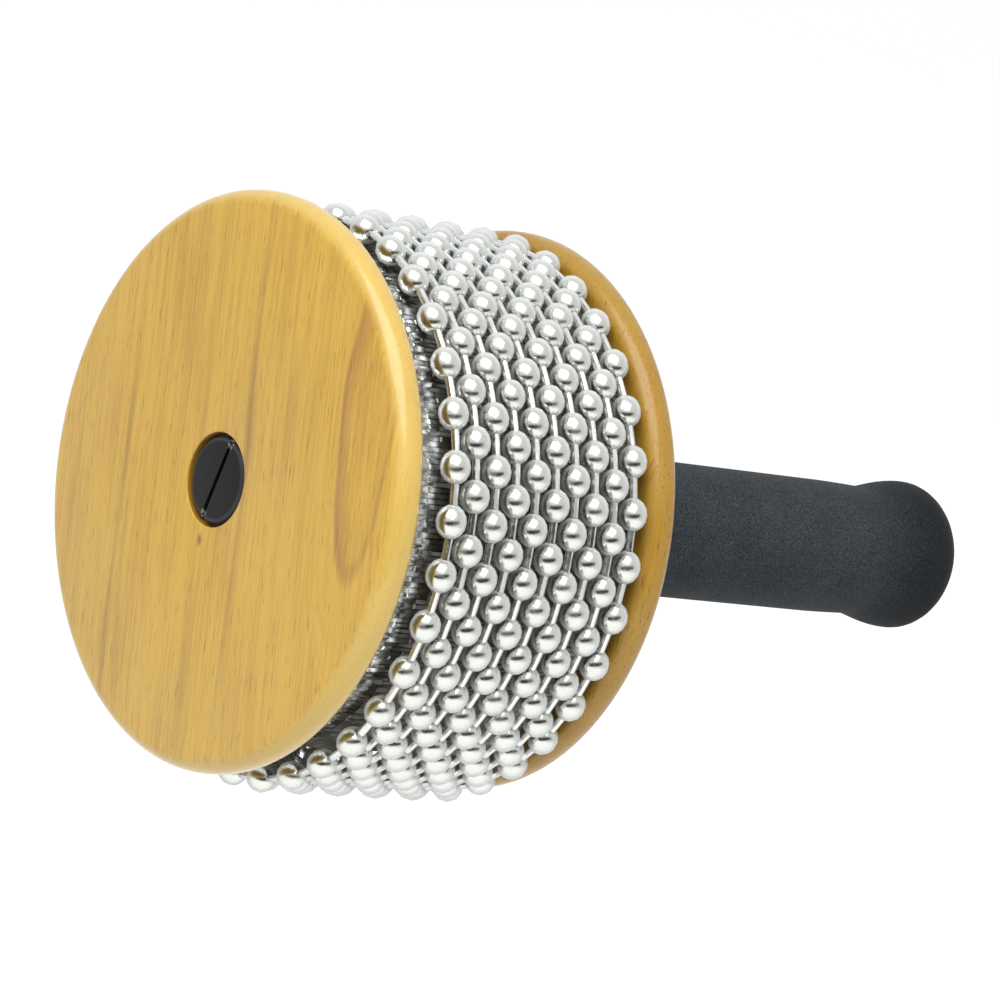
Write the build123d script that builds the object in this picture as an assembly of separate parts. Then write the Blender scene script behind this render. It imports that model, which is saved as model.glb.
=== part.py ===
from build123d import *
from math import cos, pi, sin
import os

# Cabasa: a hand percussion instrument, held level by its grip.
#
# A wooden drum wrapped in ribbed steel sheet sits between two wooden end discs. Ten closed loops
# of steel ball chain hang round the drum. A long slotted bolt goes in through the front disc and
# clamps the front disc, the drum, the back disc and the handle together.
#
# Millimetres. X runs along the instrument, from the front disc to the end of the handle, and Z is
# up. The origin is on the axis, in the middle of the grip, where the hand holds it.

# Drum and its two end discs
disc_diameter = 100.0
disc_thickness = 6.2
rim_edge = 1.6
disc_overhang = 5.6
drum_length = 49.4

# Sheet steel wrapped round the drum, pressed into ribs that run along it
sheet_thickness = 0.5
rib_height = 0.35
rib_count = 64
sheet_slip = 0.05
seam_gap = 0.6
seam_turn = -100.0

# Ball chain: balls joined by short pins, closed into loops
loop_count = 10
balls_per_loop = 34
ball_diameter = 5.0
ball_length = 4.9
ball_end_diameter = 2.8
ball_sides = 4
ball_corner_share = 1.04
pin_diameter = 1.3
pin_sides = 3
loop_front_space = 6.5
loop_rear_space = 0.7
loop_sag = 1.5
loop_top_gap = 0.2
loop_skew = 2.7
first_loop_phase_share = 0.38
stagger_share = 0.5

# Centre bolt and its counterbore in the front disc
counterbore_clearance = 0.6
head_diameter = 15.1
head_thickness = 3.0
head_edge = 0.9
head_recess = 0.3
slot_width = 0.9
slot_depth = 1.2
slot_tilt = 12.0
shank_diameter = 6.0
bolt_clearance = 0.3

# Handle: a turned core with a threaded insert, under a closed foam grip
grip_diameter = 25.2
grip_length = 110.9
hand_reach = 54.0
neck_diameter = 24.6
neck_width = 12.0
bulb_diameter = 28.6
bulb_rise = 11.5
bulb_nose = 9.0
bulb_turns = (0.0, 30.0, 60.0)
tip_diameter = 7.2
foam_end_wall = 9.0
core_diameter = 16.0
core_slip = 0.1
insert_diameter = 10.0
insert_length = 14.0
insert_slip = 0.05
thread_slip = 0.05
bolt_engagement = 12.0
bolt_run_out = 4.0

# Every cut that goes right through overruns by this much
overrun = 1.0

# Stations along X, worked out from the grip's middle towards the front
back_disc_outer = -hand_reach
back_disc_inner = back_disc_outer - disc_thickness
front_disc_inner = back_disc_inner - drum_length
front_disc_outer = front_disc_inner - disc_thickness
handle_end = back_disc_outer + grip_length

# The discs stand out all round the drum
drum_diameter = disc_diameter - 2 * disc_overhang

# The chain hangs on the drum's top, so its loops' middle lies below the axis
ball_step = 360.0 / balls_per_loop
ball_corner_radius = ball_diameter / 2 * ball_corner_share
loop_radius = drum_diameter / 2 + loop_top_gap + ball_corner_radius + loop_sag
first_loop = front_disc_inner + loop_front_space + ball_corner_radius
last_loop = back_disc_inner - loop_rear_space - ball_corner_radius
loop_pitch = (last_loop - first_loop) / (loop_count - 1)


def turned(*outline):
    """A solid turned about the X axis from an outline of (station, radius) points."""
    edge = Polyline(*outline, close=True)
    return revolve(make_face(edge), Axis.X)


def bar(start, end, diameter):
    """A round bar along the X axis between two stations."""
    return Plane((start, 0, 0), x_dir=(0, 1, 0), z_dir=(1, 0, 0)) * Cylinder(
        diameter / 2, end - start, align=(Align.CENTER, Align.CENTER, Align.MIN)
    )


def end_disc(front, back):
    """A wooden disc with eased rims, between two stations."""
    radius = disc_diameter / 2
    return turned(
        (front, 0),
        (front, radius - rim_edge),
        (front + rim_edge, radius),
        (back - rim_edge, radius),
        (back, radius - rim_edge),
        (back, 0),
    )


def bolt_hole(start, end):
    """The cutter for the bolt's clearance hole through one wooden piece."""
    return bar(start - overrun, end + overrun, shank_diameter + 2 * bolt_clearance)


def front_disc():
    """The disc that faces the player, with the counterbore that takes the bolt's head."""
    disc = end_disc(front_disc_outer, front_disc_inner)
    seat = front_disc_outer + head_recess + head_thickness
    counterbore = bar(front_disc_outer - overrun, seat, head_diameter + 2 * counterbore_clearance)
    return disc - counterbore - bolt_hole(front_disc_outer, front_disc_inner)


def back_disc():
    """The disc at the handle."""
    disc = end_disc(back_disc_inner, back_disc_outer)
    return disc - bolt_hole(back_disc_inner, back_disc_outer)


def drum_core():
    """The solid wooden drum inside the sheet."""
    diameter = drum_diameter - 2 * (rib_height + sheet_thickness + sheet_slip)
    core = bar(front_disc_inner, back_disc_inner, diameter)
    return core - bolt_hole(front_disc_inner, back_disc_inner)


def drum_sheet():
    """The ribbed steel sheet, bent round the core with an open butt seam."""
    crest = drum_diameter / 2
    valley = crest - rib_height
    inside = bar(
        front_disc_inner - overrun, back_disc_inner + overrun, 2 * (valley - sheet_thickness)
    )
    points = []
    for rib in range(rib_count):
        for radius, offset_share in ((crest, 0.0), (valley, 0.5)):
            turn = 2 * pi * (rib + offset_share) / rib_count
            points.append((radius * sin(turn), radius * cos(turn)))
    section = Plane((front_disc_inner, 0, 0), x_dir=(0, 1, 0), z_dir=(1, 0, 0)) * make_face(
        Polyline(*points, close=True)
    )
    sheet = extrude(section, amount=drum_length) - inside
    seam = Pos((front_disc_inner + back_disc_inner) / 2, 0, crest) * Box(
        drum_length + 2 * overrun, seam_gap, 2 * (rib_height + sheet_thickness + overrun)
    )
    return sheet - Rot(seam_turn, 0, 0) * seam


def end_corners(side, diameter, twist_share):
    """Corners of a flat chain end at the loop's top, where the chain runs along Y.

    side is 1 or -1 for the ball's two ends, and twist_share turns the corners by a part of a side.
    """
    corners = []
    for corner in range(pin_sides):
        turn = 2 * pi * (corner + twist_share) / pin_sides
        across = diameter / 2 * sin(turn)
        corners.append(Vector(across, side * ball_length / 2, diameter / 2 * cos(turn)))
    return corners


def ball():
    """One faceted ball at the loop's top: a four-sided waist between two flat ends."""
    waist = []
    for corner in range(ball_sides):
        turn = 2 * pi * corner / ball_sides
        waist.append(Vector(ball_corner_radius * sin(turn), 0, ball_corner_radius * cos(turn)))
    far_end = end_corners(1, ball_end_diameter, 0.0)
    near_end = end_corners(-1, ball_end_diameter, 0.5)
    return Pos(0, 0, loop_radius) * ConvexPolyhedron(waist + far_end + near_end)


def pin():
    """The pin from the ball at the loop's top to the next ball, seated on both their ends."""
    lift = Vector(0, 0, loop_radius)
    near_end = [corner + lift for corner in end_corners(-1, pin_diameter, 0.0)]
    far_end = [corner + lift for corner in end_corners(1, pin_diameter, 0.0)]
    next_end = [corner.rotate(Axis.X, ball_step) for corner in far_end]
    return ConvexPolyhedron(near_end + next_end)


def round_loop(piece, index):
    """Copies of a piece of chain, one for each ball, all the way round one loop."""
    station = first_loop + index * loop_pitch
    # the front loop lies askew, with its -Y side forward, and the ones behind it less and less
    skew = loop_skew * (1 - index / (loop_count - 1))
    phase_share = first_loop_phase_share + stagger_share * (index % 2)
    copies = []
    for place in range(balls_per_loop):
        turn = (place + phase_share) * ball_step
        copies.append(Pos(station, 0, -loop_sag) * Rot(0, 0, -skew) * Rot(turn, 0, 0) * piece)
    return Compound(children=copies)


def centre_bolt():
    """The long bolt with its round slotted head."""
    head_front = front_disc_outer + head_recess
    head_back = head_front + head_thickness
    tip = back_disc_outer + bolt_engagement
    head_radius = head_diameter / 2
    shank_radius = shank_diameter / 2
    bolt = turned(
        (head_front, 0),
        (head_front, head_radius - head_edge),
        (head_front + head_edge, head_radius),
        (head_back, head_radius),
        (head_back, shank_radius),
        (tip, shank_radius),
        (tip, 0),
    )
    slot = Pos(head_front, 0, 0) * Box(2 * slot_depth, slot_width, head_diameter + overrun)
    return bolt - Rot(slot_tilt, 0, 0) * slot


def handle_core():
    """The turned core inside the grip, bored for the insert and for the bolt's run-out."""
    insert_end = back_disc_outer + insert_length
    core = bar(back_disc_outer, handle_end - foam_end_wall, core_diameter)
    pocket = bar(back_disc_outer - overrun, insert_end, insert_diameter + 2 * insert_slip)
    run_out = bar(back_disc_outer, insert_end + bolt_run_out, shank_diameter + 2 * bolt_clearance)
    return core - pocket - run_out


def handle_insert():
    """The threaded insert in the core that the bolt screws into."""
    insert_end = back_disc_outer + insert_length
    sleeve = bar(back_disc_outer, insert_end, insert_diameter)
    thread = bar(
        back_disc_outer - overrun, insert_end + overrun, shank_diameter + 2 * thread_slip
    )
    return sleeve - thread


def foam_grip():
    """The closed foam sleeve, drawn in at its neck and swelling to a round-nosed bulb."""
    radius = grip_diameter / 2
    bulb_radius = bulb_diameter / 2
    bulb_middle = handle_end - bulb_nose
    neck = bulb_middle - bulb_rise
    nose = []
    for degrees in bulb_turns:
        turn = pi * degrees / 180
        nose.append((bulb_middle + bulb_nose * sin(turn), bulb_radius * cos(turn)))
    grip = turned(
        (back_disc_outer, 0),
        (back_disc_outer, radius),
        (neck - neck_width, radius),
        (neck, neck_diameter / 2),
        *nose,
        (handle_end, tip_diameter / 2),
        (handle_end, 0),
    )
    bore_end = handle_end - foam_end_wall + core_slip
    bore = bar(back_disc_outer - overrun, bore_end, core_diameter + 2 * core_slip)
    return grip - bore


pieces = {
    "front_disc": front_disc(),
    "back_disc": back_disc(),
    "drum_core": drum_core(),
    "drum_sheet": drum_sheet(),
    "centre_bolt": centre_bolt(),
    "handle_core": handle_core(),
    "handle_insert": handle_insert(),
    "foam_grip": foam_grip(),
}
one_ball = ball()
one_pin = pin()
for loop in range(loop_count):
    pieces[f"ball_loop_{loop + 1:02d}"] = round_loop(one_ball, loop)
    pieces[f"pin_loop_{loop + 1:02d}"] = round_loop(one_pin, loop)

os.makedirs("parts", exist_ok=True)
for name, shape in pieces.items():
    shape.label = name
    export_step(shape, os.path.join("parts", name + ".step"))
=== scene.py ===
import random
from math import asin, cos, pi, radians, sin, tau

import bmesh
import bpy
from mathutils import Matrix, Vector


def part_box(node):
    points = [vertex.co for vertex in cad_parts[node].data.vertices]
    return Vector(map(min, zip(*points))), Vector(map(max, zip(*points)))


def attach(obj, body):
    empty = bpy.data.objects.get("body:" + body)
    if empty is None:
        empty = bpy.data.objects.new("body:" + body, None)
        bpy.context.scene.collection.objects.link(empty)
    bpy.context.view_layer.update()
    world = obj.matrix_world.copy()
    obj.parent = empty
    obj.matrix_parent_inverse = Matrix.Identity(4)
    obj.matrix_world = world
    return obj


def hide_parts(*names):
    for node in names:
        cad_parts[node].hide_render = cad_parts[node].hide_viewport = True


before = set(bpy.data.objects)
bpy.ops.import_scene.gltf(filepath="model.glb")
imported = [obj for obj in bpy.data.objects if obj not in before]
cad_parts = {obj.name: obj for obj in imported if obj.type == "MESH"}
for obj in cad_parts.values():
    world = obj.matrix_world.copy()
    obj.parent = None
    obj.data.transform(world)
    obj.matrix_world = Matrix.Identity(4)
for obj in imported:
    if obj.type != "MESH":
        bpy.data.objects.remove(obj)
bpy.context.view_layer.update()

bl_info = {
    "name": "Cabasa",
    "version": (1, 0, 0),
    "blender": (4, 5, 0),
    "location": "3D View > Sidebar > Cabasa",
    "description": "Finishes a cabasa: varnished discs, embossed sheet, ball chain, bolt and foam grip",
    "category": "Object",
}

# Corners of the pieces that the finished ones take the place of, in metres
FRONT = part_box("front_disc")
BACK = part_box("back_disc")
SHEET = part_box("drum_sheet")
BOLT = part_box("centre_bolt")
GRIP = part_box("foam_grip")
FIRST_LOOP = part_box("ball_loop_01")
LAST_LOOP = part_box("ball_loop_10")
LOOP_COUNT = 10


def length(name, description, default):
    """A length property in metres, shown in the scene's units."""
    return bpy.props.FloatProperty(
        name=name, description=description, default=default, unit="LENGTH", precision=5
    )


def colour(name, description, default):
    """A colour property in linear light."""
    return bpy.props.FloatVectorProperty(
        name=name, description=description, default=default, subtype="COLOR", size=3, min=0, max=1
    )


def share(name, description, default):
    """A plain number, such as a weight or a part of something."""
    return bpy.props.FloatProperty(name=name, description=description, default=default, precision=3)


class CabasaDiscSizes(bpy.types.PropertyGroup):
    """Sizes of the two wooden discs."""
    diameter: length("Diameter", "Across each disc", FRONT[1][2] - FRONT[0][2])
    rim: length("Rim radius", "Rounding of the rims", 0.0028)
    bore: length("Bore", "Diameter of the bolt's hole", 0.0066)
    counterbore: length("Counterbore", "Diameter of the front disc's counterbore", 0.0163)
    counterbore_depth: length("Counterbore depth", "From the disc's face to the head's seat", 0.0033)
    counterbore_edge: length("Counterbore edge", "Rounding of the counterbore's mouth", 0.00025)


class CabasaSheetSizes(bpy.types.PropertyGroup):
    """Sizes of the embossed steel sheet."""
    thickness: length("Thickness", "Of the sheet", 0.0005)
    relief: length("Relief", "How far the embossed cells stand out", 0.00035)
    cell_length: length("Cell length", "Of one embossed cell, along the drum", 0.0024)
    cell_width: length("Cell width", "Of one embossed cell, round the drum", 0.00095)
    cell_gap: length("Cell gap", "Half the groove between two cells", 0.00012)
    seam_gap: length("Seam gap", "Between the sheet's two ends", 0.0006)
    seam_turn: share("Seam turn", "Degrees from the top to the seam", -100.0)


class CabasaChainSizes(bpy.types.PropertyGroup):
    """Sizes of the ball chain."""
    ball: length("Ball", "Ball diameter", 0.00518)
    ball_long: length("Ball length", "Of a ball along the chain", 0.0058)
    mouth: length("Mouth", "Diameter of the ball's flat mouth where the pin comes out", 0.0017)
    pin: length("Pin", "Pin diameter", 0.0013)
    loop_radius: length("Loop radius", "From a loop's middle to its balls' middles", 0.0487)
    skew: share("Skew", "Degrees that the front loop lies askew", 2.7)
    sag: length("Sag", "How far the loops' middle lies below the drum's axis", 0.0015)
    balls: bpy.props.IntProperty(name="Balls", description="Balls in one loop", default=34)
    phase: share("Phase", "First ball's place, in balls", 0.38)
    stagger: share("Stagger", "Between neighbouring loops, in balls", 0.5)


class CabasaBoltSizes(bpy.types.PropertyGroup):
    """Sizes of the centre bolt."""
    head: length("Head", "Head diameter", 0.0151)
    head_thickness: length("Head thickness", "Of the round head", 0.003)
    head_edge: length("Head edge", "Rounding of the head's edge", 0.0009)
    shank: length("Shank", "Shank diameter", 0.006)
    slot_width: length("Slot width", "Of the driver slot", 0.0009)
    slot_depth: length("Slot depth", "Of the driver slot", 0.0012)
    slot_tilt: share("Slot tilt", "Degrees from upright", 12.0)


class CabasaGripSizes(bpy.types.PropertyGroup):
    """Sizes of the foam grip."""
    diameter: length("Diameter", "Of the straight part", 0.0252)
    neck: length("Neck", "Diameter just before the bulb", 0.0246)
    neck_width: length("Neck width", "Length of the taper to the neck", 0.012)
    bulb: length("Bulb", "Diameter of the bulb", 0.0286)
    bulb_rise: length("Bulb rise", "From the neck to the bulb's widest place", 0.0115)
    bulb_nose: length("Bulb nose", "From the bulb's widest place to its tip", 0.009)
    bore: length("Bore", "Of the hole for the core", 0.0162)
    end_wall: length("End wall", "Foam past the core's end", 0.009)


class CabasaColours(bpy.types.PropertyGroup):
    """Colours of the finishes."""
    wood: colour("Wood", "Front disc's pale wood", (0.675, 0.41, 0.046))
    wood_mid: colour("Wood grain", "Front disc's darker grain", (0.46, 0.243, 0.018))
    wood_streak: colour("Wood streak", "Front disc's brown streak", (0.42, 0.18, 0.04))
    wood_dark: colour("Wood lines", "Front disc's thin dark lines", (0.22, 0.103, 0.014))
    # A paler colour for the rim, a painted sheen on the rounded rim
    wood_rim_sheen: colour("Wood rim", "Front disc's paler rim", (0.64, 0.455, 0.12))
    back_wood: colour("Back wood", "Back disc's pale wood", (0.39, 0.222, 0.027))
    back_mid: colour("Back grain", "Back disc's darker grain", (0.33, 0.172, 0.02))
    nickel: colour("Nickel", "The balls' plating", (0.575, 0.59, 0.545))
    pin: colour("Pin", "The pins' plating", (0.66, 0.67, 0.65))
    steel: colour("Steel", "The sheet where it is bright", (0.80, 0.815, 0.82))
    # The dark and the grey steel are painted shade beside and under the loops
    steel_dark: colour("Dark steel", "The sheet beside the loops", (0.19, 0.185, 0.16))
    steel_shaded: colour("Shaded steel", "The sheet under the loops", (0.25, 0.245, 0.21))
    black: colour("Black", "The bolt's finish", (0.0035, 0.0035, 0.0045))
    foam: colour("Foam", "The grip", (0.027, 0.0335, 0.039))
    brass: colour("Brass", "The threaded insert", (0.72, 0.5, 0.2))
    floor: colour("Floor", "The studio's floor", (0.8, 0.8, 0.8))


class CabasaStage(bpy.types.PropertyGroup):
    """The camera's place and the studio."""
    camera_x: length("Camera X", "Camera's place along the instrument", -0.54269)
    camera_y: length("Camera Y", "Camera's place across the instrument", -0.57003)
    camera_z: length("Camera Z", "Camera's height over the drum's axis", 0.13453)
    azimuth: share("Azimuth", "Degrees from +Y towards +X", 40.67)
    elevation: share("Elevation", "Degrees that the camera looks down", 10.0)
    roll: share("Roll", "Degrees that the camera is rolled", 14.9)
    lens: share("Lens", "Focal length in mm on a 36 mm sensor", 153.15)
    floor_drop: length("Floor drop", "From the drum's axis to the floor", 0.19)
    flag_width: length("Flag width", "Of the black flag that only the metal sees", 2.2)
    flag_height: length("Flag height", "Of the black flag that only the metal sees", 0.27)
    flag_distance: length("Flag distance", "From the drum to the black flag", 0.6)
    flag_drop: length("Flag drop", "From the camera's axis down to the flag's middle", 0.11)
    key: share("Key", "Strength of the softbox over the camera", 7.8)
    fill: share("Fill", "Strength of the side softbox", 2.0)
    ambient: share("Ambient", "Strength of the world's light", 0.35)


def nodes_of(material):
    """A material's node tree with an empty Principled BSDF in it."""
    material.use_nodes = True
    tree = material.node_tree
    tree.nodes.clear()
    output = tree.nodes.new("ShaderNodeOutputMaterial")
    shader = tree.nodes.new("ShaderNodeBsdfPrincipled")
    tree.links.new(shader.outputs["BSDF"], output.inputs["Surface"])
    return tree, shader


def add(tree, kind, values=None, **settings):
    """A node with its settings and the values or links of its inputs, by name or number."""
    node = tree.nodes.new(kind)
    for key, value in settings.items():
        setattr(node, key, value)
    for key, value in (values or {}).items():
        if isinstance(value, bpy.types.NodeSocket):
            tree.links.new(value, node.inputs[key])
        else:
            node.inputs[key].default_value = value
    return node


def maths(tree, operation, first, second=0.0, clamp=False):
    """The result of one sum."""
    node = add(tree, "ShaderNodeMath", {0: first, 1: second}, operation=operation, use_clamp=clamp)
    return node.outputs[0]


def ranged(tree, value, low, high, to_low=0.0, to_high=1.0):
    """A value carried from one range to another, smoothly and clamped."""
    node = add(
        tree,
        "ShaderNodeMapRange",
        {"Value": value, "From Min": low, "From Max": high, "To Min": to_low, "To Max": to_high},
        interpolation_type="SMOOTHSTEP",
    )
    return node.outputs["Result"]


def mixed(tree, factor, first, second):
    """Two colours mixed. Each is a socket or three numbers in linear light."""
    node = tree.nodes.new("ShaderNodeMix")
    node.data_type = "RGBA"
    tree.links.new(factor, node.inputs[0])
    for socket, value in ((node.inputs[6], first), (node.inputs[7], second)):
        if isinstance(value, bpy.types.NodeSocket):
            tree.links.new(value, socket)
        else:
            socket.default_value = (*value, 1.0)
    return node.outputs[2]


def noise(tree, vector, scale, detail=2.0, rough=0.5):
    """The value of a noise."""
    node = add(
        tree, "ShaderNodeTexNoise", {"Vector": vector, "Scale": scale, "Detail": detail, "Roughness": rough}
    )
    return node.outputs[0]


def stretched(tree, vector, x, y, z):
    """A vector with each part multiplied."""
    node = add(
        tree, "ShaderNodeVectorMath", {0: vector, 1: (x, y, z)}, operation="MULTIPLY"
    )
    return node.outputs[0]


def group(name, inputs, outputs):
    """An empty node group with named sockets."""
    tree = bpy.data.node_groups.new(name, "ShaderNodeTree")
    for label, kind in inputs:
        tree.interface.new_socket(name=label, in_out="INPUT", socket_type=kind)
    for label, kind in outputs:
        tree.interface.new_socket(name=label, in_out="OUTPUT", socket_type=kind)
    return tree, tree.nodes.new("NodeGroupInput"), tree.nodes.new("NodeGroupOutput")


def wood_group():
    """Sawn wood: a long oval figure, fibres, long dark lines and pores. Millimetres, grain along Z."""
    known = bpy.data.node_groups.get("Sawn wood")
    if known:
        return known
    tree, source, result = group(
        "Sawn wood",
        [("Place", "NodeSocketVector"), ("Pale", "NodeSocketColor"), ("Grain", "NodeSocketColor"),
         ("Streak", "NodeSocketColor"), ("Line", "NodeSocketColor"), ("Figure", "NodeSocketVector"),
         ("Lines", "NodeSocketVector"), ("Pores", "NodeSocketFloat")],
        [("Color", "NodeSocketColor"), ("Roughness", "NodeSocketFloat"), ("Height", "NodeSocketFloat")],
    )
    place = source.outputs["Place"]
    parts = add(tree, "ShaderNodeSeparateXYZ", {0: place})
    sway = noise(tree, stretched(tree, place, 0.03, 0.03, 0.022), 1.0, 2.0)
    sway = maths(tree, "MULTIPLY", maths(tree, "SUBTRACT", sway, 0.5), 7.0)
    side = maths(tree, "ADD", parts.outputs["Y"], sway)
    # Rings nest round the figure's middle and straighten away from it
    away = add(tree, "ShaderNodeCombineXYZ", {0: parts.outputs["X"], 1: side, 2: parts.outputs["Z"]})
    away = add(tree, "ShaderNodeVectorMath", {0: away.outputs[0], 1: source.outputs["Figure"]}, operation="SUBTRACT")
    away = stretched(tree, away.outputs[0], 0.1, 1.0, 0.27)
    turned_away = add(tree, "ShaderNodeSeparateXYZ", {0: away})
    ring = add(tree, "ShaderNodeVectorMath", {0: away}, operation="LENGTH").outputs["Value"]
    band = add(tree, "ShaderNodeTexNoise", {"W": ring, "Scale": 0.30, "Detail": 2.0}, noise_dimensions="1D")
    band = ranged(tree, band.outputs[0], 0.36, 0.68)
    fine = add(tree, "ShaderNodeTexNoise", {"W": ring, "Scale": 1.3, "Detail": 1.0}, noise_dimensions="1D")
    line = ranged(tree, fine.outputs[0], 0.67, 0.75)
    fibre = noise(tree, stretched(tree, place, 2.2, 2.2, 0.05), 1.0, 3.0, 0.6)
    cloud = noise(tree, stretched(tree, place, 0.05, 0.09, 0.02), 1.0, 2.0)
    pore = noise(tree, stretched(tree, place, 3.2, 3.2, 0.20), 1.0, 1.0)
    pore = ranged(tree, pore, 0.63, 0.72)
    patch = ranged(tree, noise(tree, stretched(tree, place, 0.16, 0.16, 0.03), 1.0, 1.0), 0.42, 0.60)
    # A brown streak lines the figure's inner edge, on the side towards the middle of the board
    streak = maths(tree, "MULTIPLY", ranged(tree, ring, 3.6, 6.4), ranged(tree, ring, 6.6, 7.5, 1.0, 0.0))
    inner = ranged(tree, turned_away.outputs["Y"], -1.0, 3.0, 0.2, 1.0)
    lower = ranged(tree, turned_away.outputs["Z"], 3.0, 6.5, 1.0, 0.15)
    streak = maths(tree, "MULTIPLY", maths(tree, "MULTIPLY", streak, inner), lower)
    edge = ranged(tree, maths(tree, "ABSOLUTE", maths(tree, "SUBTRACT", ring, 6.7)), 0.1, 0.8, 1.0, 0.0)
    edge = maths(tree, "MULTIPLY", edge, lower)
    # Two long thin lines run with the grain
    marks = add(tree, "ShaderNodeSeparateXYZ", {0: source.outputs["Lines"]})
    drift = maths(tree, "ADD", parts.outputs["Y"], maths(tree, "MULTIPLY", sway, 0.4))
    long_lines = 0.0
    for label in ("X", "Y"):
        off = maths(tree, "ABSOLUTE", maths(tree, "SUBTRACT", drift, marks.outputs[label]))
        long_lines = maths(tree, "ADD", ranged(tree, off, 0.0, 1.3, 1.0, 0.0), long_lines)
    long_lines = maths(tree, "MULTIPLY", long_lines, ranged(tree, cloud, 0.38, 0.58, 0.25, 1.0))
    tone = maths(tree, "ADD", maths(tree, "MULTIPLY", band, 0.28), 0.12)
    tone = maths(tree, "ADD", tone, maths(tree, "MULTIPLY", maths(tree, "SUBTRACT", fibre, 0.5), 2.3))
    tone = maths(tree, "ADD", tone, maths(tree, "MULTIPLY", maths(tree, "SUBTRACT", cloud, 0.5), 1.2), True)
    tint = mixed(tree, tone, source.outputs["Pale"], source.outputs["Grain"])
    tint = mixed(tree, maths(tree, "MULTIPLY", streak, 0.55), tint, source.outputs["Streak"])
    lined = maths(tree, "MULTIPLY", maths(tree, "MULTIPLY", line, patch), 0.12)
    lined = maths(tree, "MAXIMUM", lined, maths(tree, "MULTIPLY", maths(tree, "MULTIPLY", edge, fibre), 0.6))
    lined = maths(tree, "MAXIMUM", lined, maths(tree, "MULTIPLY", maths(tree, "MULTIPLY", long_lines, fibre), 0.95))
    tint = mixed(tree, lined, tint, source.outputs["Line"])
    tint = mixed(tree, maths(tree, "MULTIPLY", pore, source.outputs["Pores"]), tint, source.outputs["Line"])
    tree.links.new(tint, result.inputs["Color"])
    gloss = maths(tree, "ADD", maths(tree, "MULTIPLY", pore, 0.15), 0.32)
    tree.links.new(gloss, result.inputs["Roughness"])
    height = maths(tree, "SUBTRACT", maths(tree, "MULTIPLY", fibre, 0.3), pore)
    tree.links.new(height, result.inputs["Height"])
    return tree


def micro_group():
    """Fine handling marks: soft smudges and small dents that break up a flat finish."""
    known = bpy.data.node_groups.get("Handling marks")
    if known:
        return known
    tree, source, result = group(
        "Handling marks",
        [("Place", "NodeSocketVector"), ("Size", "NodeSocketFloat")],
        [("Mask", "NodeSocketFloat"), ("Height", "NodeSocketFloat")],
    )
    place = source.outputs["Place"]
    soft = add(tree, "ShaderNodeTexNoise", {"Vector": place, "Scale": source.outputs["Size"], "Detail": 4.0})
    small = add(
        tree,
        "ShaderNodeTexNoise",
        {"Vector": place, "Scale": maths(tree, "MULTIPLY", source.outputs["Size"], 6.0), "Detail": 2.0},
    )
    tree.links.new(ranged(tree, soft.outputs[0], 0.4, 0.66), result.inputs["Mask"])
    tree.links.new(small.outputs[0], result.inputs["Height"])
    return tree


def bumped(tree, shader, height, strength, distance):
    """Feeds a height to the shader's normal."""
    bump = add(tree, "ShaderNodeBump", {"Height": height, "Strength": strength, "Distance": distance})
    tree.links.new(bump.outputs["Normal"], shader.inputs["Normal"])


def placed(tree, turn=(0, 0, 0), move=(0, 0, 0), scale=1000.0):
    """The object's own coordinates, in millimetres, moved and turned."""
    coordinates = tree.nodes.new("ShaderNodeTexCoord").outputs["Object"]
    mapping = add(
        tree,
        "ShaderNodeMapping",
        {"Vector": coordinates, "Location": move, "Rotation": turn, "Scale": (scale,) * 3},
    )
    return mapping.outputs["Vector"]


def wood(name, pale, grain, streak, line, lean, move, figure_place, lines,
         bore_shade=0.0, rim=None, pores=0.6, coat=0.45):
    """Clear-varnished wood with its grain leaning from upright, and painted shade in the bore where asked."""
    material = bpy.data.materials.new(name)
    tree, shader = nodes_of(material)
    place = placed(tree, (radians(lean), 0, 0), move)
    figure = add(tree, "ShaderNodeGroup", node_tree=wood_group())
    tree.links.new(place, figure.inputs["Place"])
    for socket, value in (("Pale", pale), ("Grain", grain), ("Streak", streak), ("Line", line)):
        figure.inputs[socket].default_value = (*value, 1.0)
    figure.inputs["Figure"].default_value = figure_place
    figure.inputs["Lines"].default_value = (*lines, 0.0)
    figure.inputs["Pores"].default_value = pores
    tint = figure.outputs["Color"]
    if bore_shade:
        # Painted shade: the counterbore's wall and seat are darkened towards the line colour
        away = add(tree, "ShaderNodeVectorMath", {0: stretched(tree, place, 0, 1, 1)}, operation="LENGTH")
        depth = add(tree, "ShaderNodeSeparateXYZ", {0: place}).outputs["X"]
        bore = maths(tree, "MULTIPLY", ranged(tree, away.outputs["Value"], 8.2, 8.6, 1.0, 0.0),
                     ranged(tree, depth, -0.1, 0.5))
        tint = mixed(tree, maths(tree, "MULTIPLY", bore, bore_shade), tint, line)
        # A small dark fleck in the wood, under the bolt
        spot = add(tree, "ShaderNodeVectorMath", {0: place, 1: (0, 2.5, -10.5)}, operation="SUBTRACT")
        spot = add(tree, "ShaderNodeVectorMath", {0: stretched(tree, spot.outputs[0], 0, 1, 0.6)}, operation="LENGTH")
        fleck = ranged(tree, spot.outputs["Value"], 0.25, 0.9, 0.8, 0.0)
        tint = mixed(tree, fleck, tint, line)
        # The rim is paler: a painted sheen on the rounded rim
        rim_sheen = ranged(tree, away.outputs["Value"], 47.4, 49.2, 0.0, 0.7)
        tint = mixed(tree, rim_sheen, tint, rim)
    tree.links.new(tint, shader.inputs["Base Color"])
    tree.links.new(figure.outputs["Roughness"], shader.inputs["Roughness"])
    shader.inputs["Coat Weight"].default_value = coat
    shader.inputs["Coat Roughness"].default_value = 0.09
    shader.inputs["Specular IOR Level"].default_value = 0.35
    bumped(tree, shader, figure.outputs["Height"], 0.12, 0.0002)
    return material


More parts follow.
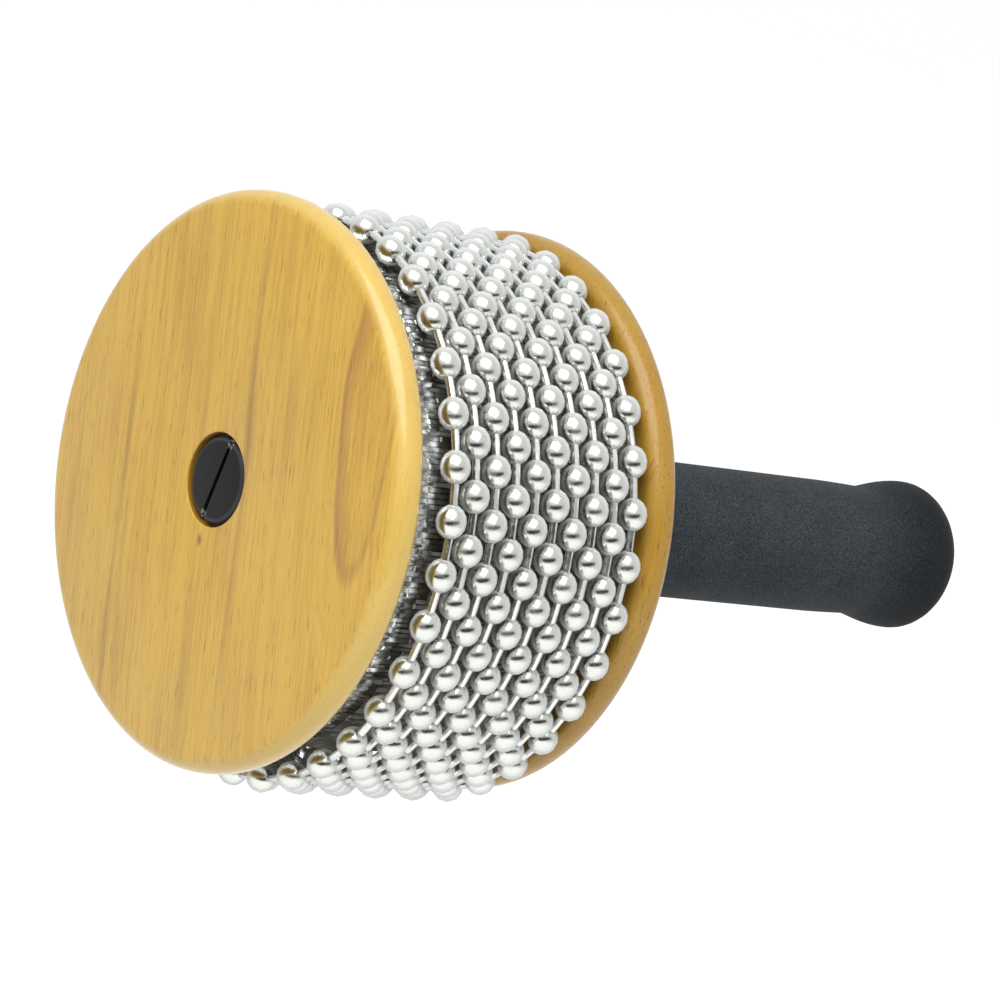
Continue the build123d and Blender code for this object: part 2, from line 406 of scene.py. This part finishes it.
def metal(name, tint, rough_low, rough_high, mark_size, relief):
    """Metal with soft smudges and small dents."""
    material = bpy.data.materials.new(name)
    tree, shader = nodes_of(material)
    marks = add(tree, "ShaderNodeGroup", node_tree=micro_group())
    tree.links.new(placed(tree), marks.inputs["Place"])
    marks.inputs["Size"].default_value = mark_size
    dull = tuple(0.86 * part for part in tint)
    tree.links.new(mixed(tree, marks.outputs["Mask"], tint, dull), shader.inputs["Base Color"])
    gloss = ranged(tree, marks.outputs["Mask"], 0.0, 1.0, rough_low, rough_high)
    tree.links.new(gloss, shader.inputs["Roughness"])
    shader.inputs["Metallic"].default_value = 1.0
    bumped(tree, shader, marks.outputs["Height"], relief, 0.0001)
    return material


def steel_with_painted_shade(bright, dark, second_tone):
    """The sheet: bright in front, with painted shade, dark beside the loops and grey under them, where it is also
    rougher.
    """
    material = bpy.data.materials.new("Embossed steel")
    tree, shader = nodes_of(material)
    place = placed(tree)
    parts = add(tree, "ShaderNodeSeparateXYZ", {0: place})
    # The zones lie askew with the front loop
    station = maths(tree, "ADD", parts.outputs["X"], maths(tree, "MULTIPLY", parts.outputs["Y"], -0.047))
    wander = noise(tree, stretched(tree, place, 0.25, 0.25, 0.25), 1.0, 3.0, 0.6)
    station = maths(tree, "ADD", station, maths(tree, "MULTIPLY", maths(tree, "SUBTRACT", wander, 0.5), 3.0))
    # Painted shade: dark beside the loops, then grey under them
    covered = ranged(tree, station, -102.1, -101.0)
    under = ranged(tree, station, -98.8, -97.3)
    tint = mixed(tree, covered, bright, dark)
    tree.links.new(mixed(tree, under, tint, second_tone), shader.inputs["Base Color"])
    gloss = ranged(tree, covered, 0.0, 1.0, 0.2, 0.32)
    tree.links.new(maths(tree, "ADD", gloss, maths(tree, "MULTIPLY", under, 0.15)), shader.inputs["Roughness"])
    shader.inputs["Metallic"].default_value = 1.0
    return material


def plated(name, tint):
    """Bright nickel plating with a soft haze, and a painted highlight: paler and less metallic where it turns away
    from the eye.
    """
    material = bpy.data.materials.new(name)
    tree, shader = nodes_of(material)
    marks = add(tree, "ShaderNodeGroup", node_tree=micro_group())
    tree.links.new(placed(tree), marks.inputs["Place"])
    marks.inputs["Size"].default_value = 0.6
    # Painted highlight on the limbs: paler and less metallic by viewing angle
    edge = add(tree, "ShaderNodeLayerWeight", {"Blend": 0.5}).outputs["Facing"]
    edge = ranged(tree, edge, 0.2, 0.65)
    tree.links.new(mixed(tree, edge, tint, (0.62, 0.64, 0.64)), shader.inputs["Base Color"])
    haze = ranged(tree, marks.outputs["Mask"], 0.0, 1.0, 0.20, 0.28)
    tree.links.new(maths(tree, "ADD", haze, maths(tree, "MULTIPLY", edge, 0.16)), shader.inputs["Roughness"])
    tree.links.new(maths(tree, "SUBTRACT", 1.0, maths(tree, "MULTIPLY", edge, 0.85)), shader.inputs["Metallic"])
    return material


def black_finish(tint, tilt, half):
    """The bolt's satin black finish, pale at the ends of its slot, and a painted highlight round the head's edge."""
    material = bpy.data.materials.new("Black bolt")
    tree, shader = nodes_of(material)
    marks = add(tree, "ShaderNodeGroup", node_tree=micro_group())
    tree.links.new(placed(tree), marks.inputs["Place"])
    marks.inputs["Size"].default_value = 0.9
    second_tone = tuple(1.8 * part for part in tint)
    finish = mixed(tree, marks.outputs["Mask"], tint, second_tone)
    place = add(tree, "ShaderNodeSeparateXYZ", {0: placed(tree, (-radians(tilt), 0, 0))})
    along = maths(tree, "ABSOLUTE", place.outputs["Z"])
    beside = maths(tree, "ABSOLUTE", place.outputs["Y"])
    # Pale marks at the two ends of the slot
    slot_end_mark = maths(tree, "MULTIPLY", ranged(tree, along, half - 1.9, half - 0.8), ranged(tree, beside, 0.55, 0.85, 1.0, 0.0))
    patch = ranged(tree, noise(tree, placed(tree), 1.1, 2.0), 0.40, 0.56)
    slot_end_mark = maths(tree, "MULTIPLY", slot_end_mark, patch)
    # Painted highlight: a paler ring round the head's rounded edge
    away = add(tree, "ShaderNodeVectorMath", {0: stretched(tree, placed(tree), 0, 1, 1)}, operation="LENGTH")
    painted_edge_highlight = ranged(tree, away.outputs["Value"], half - 1.1, half - 0.5, 0.0, 0.8)
    finish = mixed(tree, painted_edge_highlight, finish, (0.045, 0.049, 0.056))
    tree.links.new(mixed(tree, slot_end_mark, finish, (0.55, 0.52, 0.43)), shader.inputs["Base Color"])
    gloss = ranged(tree, marks.outputs["Mask"], 0.0, 1.0, 0.38, 0.5)
    tree.links.new(gloss, shader.inputs["Roughness"])
    shader.inputs["Specular IOR Level"].default_value = 0.16
    bumped(tree, shader, marks.outputs["Height"], 0.1, 0.0001)
    return material


def foam_finish(tint):
    """Matte closed-cell foam with a fine pale speckle and small open cells."""
    material = bpy.data.materials.new("Foam")
    tree, shader = nodes_of(material)
    place = placed(tree)
    speck = noise(tree, place, 3.4, 2.0, 0.8)
    cloud = noise(tree, place, 0.12, 3.0)
    tone = ranged(tree, speck, 0.40, 0.72)
    tone = maths(tree, "ADD", tone, maths(tree, "MULTIPLY", maths(tree, "SUBTRACT", cloud, 0.5), 0.5), True)
    dark = tuple(0.55 * part for part in tint)
    pale = tuple(2.3 * part for part in tint)
    foam = mixed(tree, tone, dark, pale)
    # The bulb is darker than the straight part: painted shade, falling off towards the bulb's end
    station = add(tree, "ShaderNodeSeparateXYZ", {0: place}).outputs["X"]
    bulb_shade = ranged(tree, station, 26.0, 50.0, 0.0, 1.0)
    shaded_bulb_tone = mixed(tree, tone, tuple(0.12 * part for part in tint), tuple(0.65 * part for part in tint))
    tree.links.new(mixed(tree, bulb_shade, foam, shaded_bulb_tone), shader.inputs["Base Color"])
    shader.inputs["Roughness"].default_value = 0.95
    shader.inputs["Specular IOR Level"].default_value = 0.16
    shader.inputs["Sheen Weight"].default_value = 0.05
    shader.inputs["Sheen Roughness"].default_value = 0.6
    bumped(tree, shader, speck, 0.3, 0.00018)
    return material


def plain_floor(tint):
    """A pale floor that the camera and the metal see as white, with its shadows kept."""
    material = bpy.data.materials.new("Studio floor")
    tree, shader = nodes_of(material)
    shader.inputs["Base Color"].default_value = (*tint, 1.0)
    shader.inputs["Roughness"].default_value = 0.9
    shader.inputs["Specular IOR Level"].default_value = 0.0
    path = tree.nodes.new("ShaderNodeLightPath")
    seen = maths(tree, "ADD", path.outputs["Is Camera Ray"], path.outputs["Is Glossy Ray"])
    seen = maths(tree, "ADD", seen, path.outputs["Is Transmission Ray"], True)
    shader.inputs["Emission Color"].default_value = (1, 1, 1, 1)
    tree.links.new(maths(tree, "MULTIPLY", seen, 0.72), shader.inputs["Emission Strength"])
    return material


def flag_finish():
    """The black flag's finish."""
    material = bpy.data.materials.new("Black flag")
    tree, shader = nodes_of(material)
    shader.inputs["Base Color"].default_value = (0.02, 0.02, 0.02, 1.0)
    shader.inputs["Roughness"].default_value = 1.0
    shader.inputs["Specular IOR Level"].default_value = 0.0
    return material


def finished(name, work, material, body, slot, *nodes):
    """Turns modelled geometry into a piece that takes the place of CAD nodes."""
    mesh = bpy.data.meshes.new(name)
    work.to_mesh(mesh)
    work.free()
    mesh.shade_smooth()
    mesh.set_sharp_from_angle(angle=radians(38))
    piece = bpy.data.objects.new(name, mesh)
    bpy.context.scene.collection.objects.link(piece)
    mesh.materials.append(material)
    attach(piece, body)
    if nodes:
        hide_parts(*nodes)
    return piece


def turned(outline, steps):
    """Geometry turned about the X axis from an outline of (station, radius, rounding) points."""
    work = bmesh.new()
    points = [work.verts.new((x, 0, radius)) for x, radius, rounding in outline]
    for start, end in zip(points, points[1:]):
        work.edges.new((start, end))
    for point, (x, radius, rounding) in zip(points, outline):
        if rounding:
            bmesh.ops.bevel(
                work, geom=[point], offset=rounding, segments=6, profile=0.5, affect="VERTICES", material=-1
            )
    bmesh.ops.spin(
        work, geom=work.verts[:] + work.edges[:], cent=(0, 0, 0), axis=(1, 0, 0), angle=tau,
        steps=steps, use_merge=True,
    )
    bmesh.ops.remove_doubles(work, verts=work.verts[:], dist=1e-6)
    bmesh.ops.recalc_face_normals(work, faces=work.faces[:])
    return work


class CABASA_OT_discs(bpy.types.Operator):
    """Turns the two varnished wooden discs"""
    bl_idname = "cabasa.discs"
    bl_label = "Discs"

    def execute(self, context):
        sizes = context.scene.cabasa_discs
        colours = context.scene.cabasa_colours
        radius = sizes.diameter / 2
        bore = sizes.bore / 2
        mouth = sizes.counterbore / 2
        outer, inner = FRONT[0][0], FRONT[1][0]
        seat = outer + sizes.counterbore_depth
        front = turned(
            [
                (seat, bore, 0),
                (seat, mouth, 0),
                (outer, mouth, sizes.counterbore_edge),
                (outer, radius, sizes.rim),
                (inner, radius, sizes.rim),
                (inner, bore, 0),
                (seat, bore, 0),
            ],
            128,
        )
        pale = wood(
            "Front wood", colours.wood, colours.wood_mid, colours.wood_streak, colours.wood_dark,
            12.7, (-1000 * FRONT[0][0], 0, 0), (2, -40, 12), (27, -7.8), bore_shade=0.75, rim=colours.wood_rim_sheen,
        )
        finished("front_disc_turned", front, pale, "drum", "wood", "front_disc")
        inner, outer = BACK[0][0], BACK[1][0]
        back = turned(
            [
                (inner, bore, 0),
                (inner, radius, sizes.rim),
                (outer, radius, sizes.rim),
                (outer, bore, 0),
                (inner, bore, 0),
            ],
            128,
        )
        warm = wood(
            "Back wood", colours.back_wood, colours.back_mid, colours.back_mid, colours.wood_dark,
            4.0, (-1000 * BACK[1][0], 0, 0), (20, 30, 90), (-60, 60), pores=1.0, coat=0.2,
        )
        finished("back_disc_turned", back, warm, "drum", "wood", "back_disc")
        return {"FINISHED"}


class CABASA_OT_sheet(bpy.types.Operator):
    """Presses the drum's steel sheet into small cells"""
    bl_idname = "cabasa.sheet"
    bl_label = "Embossed sheet"

    def execute(self, context):
        sizes = context.scene.cabasa_sheet
        start, end = SHEET[0][0], SHEET[1][0]
        crest = SHEET[1][2]
        valley = crest - sizes.relief
        columns = round((end - start) / sizes.cell_length)
        open_angle = sizes.seam_gap / crest
        rows = round((tau - open_angle) * crest / sizes.cell_width)
        work = bmesh.new()
        first = work.verts.new((start, 0, valley))
        line = bmesh.ops.extrude_vert_indiv(work, verts=[first])["verts"][0]
        line.co.x = end
        bmesh.ops.subdivide_edges(work, edges=work.edges[:], cuts=columns - 1)
        bmesh.ops.rotate(
            work, cent=(0, 0, 0), verts=work.verts[:],
            matrix=Matrix.Rotation(radians(sizes.seam_turn) + open_angle / 2, 3, "X"),
        )
        bmesh.ops.spin(
            work, geom=work.verts[:] + work.edges[:], cent=(0, 0, 0), axis=(1, 0, 0),
            angle=tau - open_angle, steps=rows, use_merge=False,
        )
        bmesh.ops.remove_doubles(work, verts=work.verts[:], dist=1e-6)
        bmesh.ops.recalc_face_normals(work, faces=work.faces[:])
        cells = work.faces[:]
        bmesh.ops.inset_individual(work, faces=cells, thickness=sizes.cell_gap, use_even_offset=True)
        dice = random.Random(7)
        for cell in cells:
            out = Vector((0, *cell.calc_center_median().yz)).normalized()
            tilt = dice.uniform(-1, 1)
            lean = dice.uniform(-1, 1)
            depth = dice.uniform(0.35, 0.75)
            middle = cell.calc_center_median()
            sideways = out.cross(Vector((1, 0, 0)))
            ends = (dice.uniform(-0.22, 0.1), dice.uniform(-0.1, 0.22))
            for vert in cell.verts:
                along = (vert.co - middle).x / sizes.cell_length
                around = (vert.co - middle).dot(sideways) / sizes.cell_width
                vert.co.x += ends[along > 0] * sizes.cell_length
                lift = depth + 0.5 * tilt * along + 0.9 * lean * around
                vert.co += out * sizes.relief * min(max(lift, 0.0), 0.98)
        edges = [edge for edge in work.edges if edge.is_boundary]
        rim = bmesh.ops.extrude_edge_only(work, edges=edges)["geom"]
        for vert in rim:
            if isinstance(vert, bmesh.types.BMVert):
                out = Vector((0, *vert.co.yz)).normalized()
                vert.co -= out * sizes.thickness
        bmesh.ops.recalc_face_normals(work, faces=work.faces[:])
        colours = context.scene.cabasa_colours
        steel = steel_with_painted_shade(colours.steel, colours.steel_dark, colours.steel_shaded)
        piece = finished("sheet_embossed", work, steel, "drum", "steel_sheet", "drum_sheet")
        piece.data.set_sharp_from_angle(angle=radians(12))
        return {"FINISHED"}


def ball_outline(sizes):
    """One ball's outline along the chain: a slightly long shell between its two mouths."""
    half = sizes.ball_long / 2
    radius = sizes.ball / 2
    meeting = asin(sizes.mouth / sizes.ball)
    rings = 6
    outline = []
    for ring in range(rings + 1):
        turn = meeting + (pi - 2 * meeting) * ring / rings
        outline.append((-half * cos(turn), radius * sin(turn), 0))
    return outline


def chain(piece, sizes, station, index):
    """One loop's copies of a piece that was modelled along X at the origin."""
    template = bpy.data.meshes.new("template")
    piece.to_mesh(template)
    work = bmesh.new()
    step = tau / sizes.balls
    # The front loop lies askew, and the ones behind it less and less
    skew = radians(sizes.skew) * (1 - index / (LOOP_COUNT - 1))
    middle = Matrix.Translation((station, 0, -sizes.sag)) @ Matrix.Rotation(-skew, 4, "Z")
    upright = Matrix.Translation((0, 0, sizes.loop_radius)) @ Matrix.Rotation(-pi / 2, 4, "Z")
    for place in range(sizes.balls):
        turn = (place + sizes.phase + sizes.stagger * (index % 2)) * step
        known = len(work.verts)
        work.from_mesh(template)
        work.verts.ensure_lookup_table()
        bmesh.ops.transform(
            work, matrix=middle @ Matrix.Rotation(turn, 4, "X") @ upright, verts=work.verts[known:]
        )
    bpy.data.meshes.remove(template)
    return work


class CABASA_OT_chains(bpy.types.Operator):
    """Strings the ten loops of ball chain"""
    bl_idname = "cabasa.chains"
    bl_label = "Ball chains"

    def execute(self, context):
        sizes = context.scene.cabasa_chain
        nickel = plated("Nickel", context.scene.cabasa_colours.nickel)
        bright = plated("Pin nickel", context.scene.cabasa_colours.pin)
        first = (FIRST_LOOP[0][0] + FIRST_LOOP[1][0]) / 2
        last = (LAST_LOOP[0][0] + LAST_LOOP[1][0]) / 2
        step = tau / sizes.balls
        ball = turned(ball_outline(sizes), 12)
        bmesh.ops.holes_fill(ball, edges=[edge for edge in ball.edges if edge.is_boundary], sides=0)
        bmesh.ops.recalc_face_normals(ball, faces=ball.faces[:])
        # The pin starts on the ball's mouth
        half = sizes.ball_long / 2 * cos(asin(sizes.mouth / sizes.ball))
        # The pin runs from the far end of one ball to the near end of the next
        reach = sizes.loop_radius * sin(step / 2) * 2 - 2 * half * cos(step / 2)
        pin = turned([(0, sizes.pin / 2, 0), (reach, sizes.pin / 2, 0)], 8)
        seat = Matrix.Translation((half, 0, 0)) @ Matrix.Rotation(step / 2, 4, "Y")
        bmesh.ops.transform(pin, matrix=seat, verts=pin.verts[:])
        for index in range(LOOP_COUNT):
            number = f"{index + 1:02d}"
            station = first + (last - first) * index / (LOOP_COUNT - 1)
            balls = chain(ball, sizes, station, index)
            finished(f"balls_{number}", balls, nickel, f"loop_{number}", "chain", f"ball_loop_{number}")
            pins = chain(pin, sizes, station, index)
            finished(f"pins_{number}", pins, bright, f"loop_{number}", "chain", f"pin_loop_{number}")
        ball.free()
        pin.free()
        return {"FINISHED"}


class CABASA_OT_bolt(bpy.types.Operator):
    """Turns the black bolt and cuts its driver slot"""
    bl_idname = "cabasa.bolt"
    bl_label = "Bolt"

    def execute(self, context):
        sizes = context.scene.cabasa_bolt
        front, tip = BOLT[0][0], BOLT[1][0]
        seat = front + sizes.head_thickness
        head = sizes.head / 2
        shank = sizes.shank / 2
        work = turned(
            [
                (front, 0, 0),
                (front, head, sizes.head_edge),
                (seat, head, 0),
                (seat, shank, 0),
                (tip, shank, 0),
                (tip, 0, 0),
            ],
            64,
        )
        cutter_mesh = bpy.data.meshes.new("slot cutter")
        cutter_work = bmesh.new()
        bmesh.ops.create_cube(cutter_work, size=1.0)
        bmesh.ops.scale(
            cutter_work, vec=(2 * sizes.slot_depth, sizes.slot_width, 2 * sizes.head), verts=cutter_work.verts[:]
        )
        tilt = Matrix.Rotation(radians(sizes.slot_tilt), 4, "X")
        bmesh.ops.transform(
            cutter_work, matrix=Matrix.Translation((front, 0, 0)) @ tilt, verts=cutter_work.verts[:]
        )
        cutter_work.to_mesh(cutter_mesh)
        cutter_work.free()
        cutter = bpy.data.objects.new("slot cutter", cutter_mesh)
        context.scene.collection.objects.link(cutter)
        black = black_finish(context.scene.cabasa_colours.black, sizes.slot_tilt, 1000 * head)
        piece = finished("bolt_turned", work, black, "drum", "black_bolt", "centre_bolt")
        cut = piece.modifiers.new("Slot", "BOOLEAN")
        cut.operation = "DIFFERENCE"
        cut.solver = "EXACT"
        cut.object = cutter
        slotted = bpy.data.meshes.new_from_object(piece.evaluated_get(context.evaluated_depsgraph_get()))
        piece.modifiers.clear()
        piece.data = slotted
        piece.data.shade_smooth()
        piece.data.set_sharp_from_angle(angle=radians(38))
        bpy.data.objects.remove(cutter)
        return {"FINISHED"}


class CABASA_OT_grip(bpy.types.Operator):
    """Moulds the foam grip with its round-nosed bulb"""
    bl_idname = "cabasa.grip"
    bl_label = "Foam grip"

    def execute(self, context):
        sizes = context.scene.cabasa_grip
        start, tip = GRIP[0][0], GRIP[1][0]
        radius = sizes.diameter / 2
        neck = sizes.neck / 2
        bulb = sizes.bulb / 2
        bore = sizes.bore / 2
        middle = tip - sizes.bulb_nose
        meeting = middle - sizes.bulb_rise
        wall = tip - sizes.end_wall
        outline = [(wall, 0, 0), (wall, bore, 0), (start, bore, 0), (start, radius, 0.0005)]
        straight = meeting - sizes.neck_width
        rings = 8
        for ring in range(rings):
            part = ring / rings
            outline.append((straight + sizes.neck_width * part, radius - (radius - neck) * part**1.6, 0))
        for ring in range(rings):
            part = ring / rings
            rise = (bulb - neck) * sin(part * pi / 2) ** 1.25
            outline.append((meeting + sizes.bulb_rise * part, neck + rise, 0))
        rings = 14
        for ring in range(rings + 1):
            turn = pi / 2 * ring / rings
            outline.append((middle + sizes.bulb_nose * sin(turn), max(bulb * cos(turn), 0), 0))
        work = turned(outline, 96)
        foam = foam_finish(context.scene.cabasa_colours.foam)
        piece = finished("grip_moulded", work, foam, "drum", "foam", "foam_grip")
        return {"FINISHED"}


class CABASA_OT_inner(bpy.types.Operator):
    """Finishes the pieces inside the drum and the handle"""
    bl_idname = "cabasa.inner"
    bl_label = "Inner pieces"

    def execute(self, context):
        colours = context.scene.cabasa_colours
        core = wood(
            "Core wood", colours.wood, colours.back_mid, colours.wood_streak, colours.wood_dark,
            2.0, (40, 5, 20), (0, 60, 10), (-90, 90),
        )
        brass = metal("Brass", colours.brass, 0.2, 0.4, 0.5, 0.1)
        for node, material in (("drum_core", core), ("handle_core", core), ("handle_insert", brass)):
            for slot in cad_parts[node].material_slots:
                slot.material = material
        return {"FINISHED"}


def lamp(name, place, target, width, height, power):
    """A soft rectangular lamp that shines at a place."""
    light = bpy.data.lights.new(name, "AREA")
    light.shape = "RECTANGLE"
    light.size = width
    light.size_y = height
    light.energy = power
    holder = bpy.data.objects.new(name, light)
    holder.location = place
    holder.rotation_euler = (Vector(target) - Vector(place)).to_track_quat("-Z", "Y").to_euler()
    bpy.context.scene.collection.objects.link(holder)
    return holder


class CABASA_OT_stage(bpy.types.Operator):
    """Sets up the camera, the floor and the lamps"""
    bl_idname = "cabasa.stage"
    bl_label = "Studio"

    def execute(self, context):
        scene = context.scene
        stage = scene.cabasa_stage
        azimuth = radians(stage.azimuth)
        elevation = radians(stage.elevation)
        roll = radians(stage.roll)
        level = Vector((cos(azimuth), -sin(azimuth), 0))
        forward = Vector(
            (sin(azimuth) * cos(elevation), cos(azimuth) * cos(elevation), -sin(elevation))
        )
        upright = level.cross(forward)
        right = level * cos(roll) + upright * sin(roll)
        up = right.cross(forward)
        turn = Matrix((right, up, -forward)).transposed().to_4x4()
        camera = bpy.data.cameras.new("Camera")
        camera.lens = stage.lens
        camera.sensor_width = 36.0
        camera.clip_end = 20.0
        holder = bpy.data.objects.new("Camera", camera)
        place = Vector((stage.camera_x, stage.camera_y, stage.camera_z))
        holder.matrix_world = Matrix.Translation(place) @ turn
        scene.collection.objects.link(holder)
        scene.camera = holder

        mesh = bpy.data.meshes.new("floor")
        work = bmesh.new()
        bmesh.ops.create_grid(work, x_segments=4, y_segments=4, size=6.0)
        bmesh.ops.translate(work, vec=(0, 0, -stage.floor_drop), verts=work.verts[:])
        work.to_mesh(mesh)
        work.free()
        floor = bpy.data.objects.new("floor", mesh)
        mesh.materials.append(plain_floor(scene.cabasa_colours.floor))
        scene.collection.objects.link(floor)

        middle = (-0.05, 0, 0)
        over = Vector((-0.51, -0.31, 0.81)) * 0.8
        lamp("Key softbox", Vector(middle) + over, middle, 0.85, 0.7, stage.key)
        side = lamp("Side softbox", (0.05, -0.85, 0.3), middle, 0.5, 0.5, stage.fill)
        side.visible_glossy = False

        flag_mesh = bpy.data.meshes.new("black flag")
        work = bmesh.new()
        bmesh.ops.create_grid(work, x_segments=1, y_segments=1, size=0.5)
        bmesh.ops.scale(work, vec=(stage.flag_width, stage.flag_height, 1), verts=work.verts[:])
        spot = Vector(middle) - forward * stage.flag_distance - up * stage.flag_drop
        bmesh.ops.transform(work, matrix=Matrix.Translation(spot) @ turn, verts=work.verts[:])
        work.to_mesh(flag_mesh)
        work.free()
        flag = bpy.data.objects.new("black flag", flag_mesh)
        flag_mesh.materials.append(flag_finish())
        flag.visible_camera = False
        flag.visible_diffuse = False
        flag.visible_shadow = False
        scene.collection.objects.link(flag)

        world = bpy.data.worlds.new("Studio")
        scene.world = world
        world.use_nodes = True
        tree = world.node_tree
        tree.nodes.clear()
        path = tree.nodes.new("ShaderNodeLightPath")
        seen = maths(tree, "ADD", path.outputs["Is Camera Ray"], path.outputs["Is Glossy Ray"])
        seen = maths(tree, "ADD", seen, path.outputs["Is Transmission Ray"], True)
        strength = ranged(tree, seen, 0.0, 1.0, stage.ambient, 1.0)
        background = add(tree, "ShaderNodeBackground", {"Color": (1, 1, 1, 1), "Strength": strength})
        output = tree.nodes.new("ShaderNodeOutputWorld")
        tree.links.new(background.outputs[0], output.inputs["Surface"])
        scene.view_settings.view_transform = "Standard"
        return {"FINISHED"}


class CABASA_PT_panel(bpy.types.Panel):
    """The cabasa's pieces, sizes and colours"""
    bl_label = "Cabasa"
    bl_idname = "CABASA_PT_panel"
    bl_space_type = "VIEW_3D"
    bl_region_type = "UI"
    bl_category = "Cabasa"

    def draw(self, context):
        for name in GROUPS:
            box = self.layout.box()
            values = getattr(context.scene, name)
            box.label(text=values.bl_rna.name)
            for key in values.bl_rna.annotations if hasattr(values.bl_rna, "annotations") else ():
                box.prop(values, key)
        for operator in OPERATORS:
            self.layout.operator(operator.bl_idname)


GROUPS = {
    "cabasa_discs": CabasaDiscSizes,
    "cabasa_sheet": CabasaSheetSizes,
    "cabasa_chain": CabasaChainSizes,
    "cabasa_bolt": CabasaBoltSizes,
    "cabasa_grip": CabasaGripSizes,
    "cabasa_colours": CabasaColours,
    "cabasa_stage": CabasaStage,
}
OPERATORS = (
    CABASA_OT_discs,
    CABASA_OT_sheet,
    CABASA_OT_chains,
    CABASA_OT_bolt,
    CABASA_OT_grip,
    CABASA_OT_inner,
    CABASA_OT_stage,
)


def register():
    for name, kind in GROUPS.items():
        bpy.utils.register_class(kind)
        setattr(bpy.types.Scene, name, bpy.props.PointerProperty(type=kind))
    for operator in OPERATORS:
        bpy.utils.register_class(operator)
    bpy.utils.register_class(CABASA_PT_panel)


def unregister():
    bpy.utils.unregister_class(CABASA_PT_panel)
    for operator in reversed(OPERATORS):
        bpy.utils.unregister_class(operator)
    for name, kind in reversed(GROUPS.items()):
        delattr(bpy.types.Scene, name)
        bpy.utils.unregister_class(kind)


def main():
    register()
    bpy.ops.cabasa.discs()
    bpy.ops.cabasa.sheet()
    bpy.ops.cabasa.chains()
    bpy.ops.cabasa.bolt()
    bpy.ops.cabasa.grip()
    bpy.ops.cabasa.inner()
    bpy.ops.cabasa.stage()


if __name__ == "__main__":
    main()
